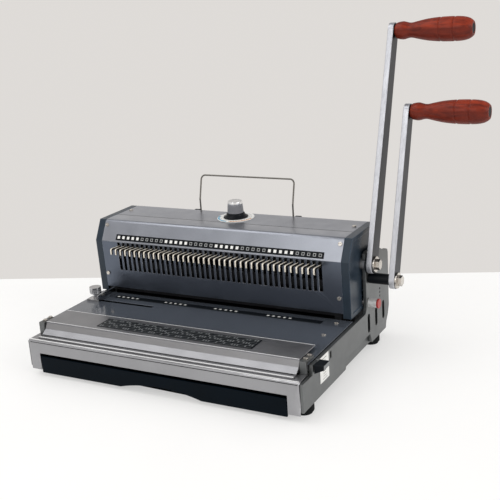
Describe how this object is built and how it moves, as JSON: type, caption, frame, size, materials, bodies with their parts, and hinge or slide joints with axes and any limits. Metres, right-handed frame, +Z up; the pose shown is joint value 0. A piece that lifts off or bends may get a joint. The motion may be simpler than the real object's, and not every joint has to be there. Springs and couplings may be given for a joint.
{
  "type": "wire binding machine",
  "caption": "Desk-top punch and wire binding machine with a long punch lever, a shorter closing lever, a front wire closer, loop hooks and a chip drawer",
  "frame": {"origin": "on the floor, under the middle of the box round the whole machine", "axes": "+X towards the levers, +Y to the rear, +Z up"},
  "size_m": [0.5684, 0.3408, 0.4509],
  "materials": {
    "painted_grey": "satin",
    "deck_grey": "gloss",
    "satin_silver": "satin",
    "cap_blue_grey": "satin",
    "machined_steel": "satin",
    "lever_steel": "satin",
    "bronze": "satin",
    "nickel": "polished",
    "black_plastic": "matte",
    "black_rubber": "matte",
    "white_plate": "satin",
    "knob_grey": "satin",
    "zinc_yellow": "polished",
    "varnished_wood": "gloss",
    "red_plastic": "satin"
  },
  "bodies": {
    "base": {"base_pan": "painted_grey", "left_side_plate": "painted_grey", "right_side_plate": "painted_grey", "front_fascia": "satin_silver", "rear_panel": "painted_grey", "deck_plate": "deck_grey", "deck_strip": "black_plastic", "feet": "black_rubber", "end_frames": "machined_steel", "frame_brackets": "machined_steel", "die_plate": "machined_steel", "die_spacer": "machined_steel", "stripper_plate": "machined_steel", "guide_rods": "machined_steel", "shaft_bushes": "bronze", "tower_front_panel": "painted_grey", "tower_rear_cover": "painted_grey", "left_cap": "cap_blue_grey", "right_cap": "cap_blue_grey", "index_strip": "black_plastic", "case_screws": "nickel", "dial_plate": "white_plate", "rack_clips": "black_plastic", "jaw_strip": "satin_silver", "end_blocks": "deck_grey", "scale_plate": "white_plate"},
    "punch_lever": {"punch_shaft": "machined_steel", "punch_eccentrics": "machined_steel", "punch_hub": "black_plastic", "punch_arm": "lever_steel", "punch_bolt": "nickel", "punch_spindle": "black_plastic"},
    "punch_handle": {"punch_grip": "varnished_wood"},
    "ram": {"punch_ram": "machined_steel", "punch_pins": "machined_steel"},
    "closing_lever": {"closing_shaft": "machined_steel", "closing_cam": "machined_steel", "closing_sleeve": "black_plastic", "closing_arm": "lever_steel", "closing_bolt": "nickel", "closing_spindle": "black_plastic"},
    "closing_handle": {"closing_grip": "varnished_wood"},
    "closer": {"press_bar": "satin_silver", "closer_cover": "satin_silver", "chart_strip": "black_plastic", "closer_arms": "machined_steel"},
    "drawer": {"chip_drawer": "black_plastic"},
    "dial": {"dial_spindle": "machined_steel", "dial_skirt": "black_plastic", "dial_knob": "knob_grey"},
    "hook_carriage": {"hook_bar": "machined_steel", "wire_hooks": "zinc_yellow"},
    "side_guide": {"guide_bracket": "machined_steel", "guide_nut": "machined_steel"},
    "thumbscrew": {"guide_thumbscrew": "nickel"},
    "rack": {"wire_rack": "machined_steel"},
    "selector": {"selector_knob": "black_plastic", "selector_cam": "machined_steel"},
    "release": {"release_rod": "machined_steel", "rod_tip": "red_plastic"}
  },
  "joints": [
    {"name": "punch_lever_pull", "type": "hinge", "parent": "base", "child": "punch_lever", "pos_m": [0.14125, 0.05061, 0.134], "axis": [1, 0, 0], "range_deg": [0, 90]},
    {"name": "punch_grip_spin", "type": "hinge", "parent": "punch_lever", "child": "punch_handle", "pos_m": [0.20125, 0.15414, 0.43467], "axis": [1, 0, 0], "continuous": true},
    {"name": "ram_stroke", "type": "slide", "parent": "base", "child": "ram", "axis": [0, 0, -1], "range_m": [0, 0.009]},
    {"name": "closing_lever_pull", "type": "hinge", "parent": "base", "child": "closing_lever", "pos_m": [0.17025, 0.05561, 0.112], "axis": [1, 0, 0], "range_deg": [0, 70]},
    {"name": "closing_grip_spin", "type": "hinge", "parent": "closing_lever", "child": "closing_handle", "pos_m": [0.23025, 0.12637, 0.32979], "axis": [1, 0, 0], "continuous": true},
    {"name": "closer_lift", "type": "hinge", "parent": "base", "child": "closer", "pos_m": [-0.07475, -0.01339, 0.042], "axis": [-1, 0, 0], "range_deg": [0, 5.95]},
    {"name": "drawer_pull", "type": "slide", "parent": "base", "child": "drawer", "axis": [0, -1, 0], "range_m": [0, 0.16]},
    {"name": "dial_turn", "type": "hinge", "parent": "base", "child": "dial", "pos_m": [-0.07475, 0.07331, 0.186], "axis": [0, 0, -1], "range_deg": [0, 300]},
    {"name": "hook_height", "type": "slide", "parent": "base", "child": "hook_carriage", "axis": [0, 0, -1], "range_m": [0, 0.018]},
    {"name": "guide_slide", "type": "slide", "parent": "base", "child": "side_guide", "axis": [1, 0, 0], "range_m": [0, 0.1]},
    {"name": "thumbscrew_turn", "type": "hinge", "parent": "side_guide", "child": "thumbscrew", "pos_m": [-0.26675, -0.03339, 0.079], "axis": [0, 0, -1], "continuous": true},
    {"name": "rack_fold", "type": "hinge", "parent": "base", "child": "rack", "pos_m": [-0.07475, 0.10461, 0.174], "axis": [-1, 0, 0], "range_deg": [0, 100]},
    {"name": "selector_turn", "type": "hinge", "parent": "base", "child": "selector", "pos_m": [0.13825, -0.13039, 0.057], "axis": [1, 0, 0], "range_deg": [-45, 45]},
    {"name": "release_pull", "type": "slide", "parent": "base", "child": "release", "axis": [1, 0, 0], "range_m": [0, 0.006]}
  ],
  "couplings": [
    {"joint": "ram_stroke", "follows": "punch_lever_pull", "m_per_rad": 0.0057296},
    {"joint": "closer_lift", "follows": "closing_lever_pull", "ratio": 0.085},
    {"joint": "dial_turn", "follows": "hook_height", "rad_per_m": 290.89}
  ]
}
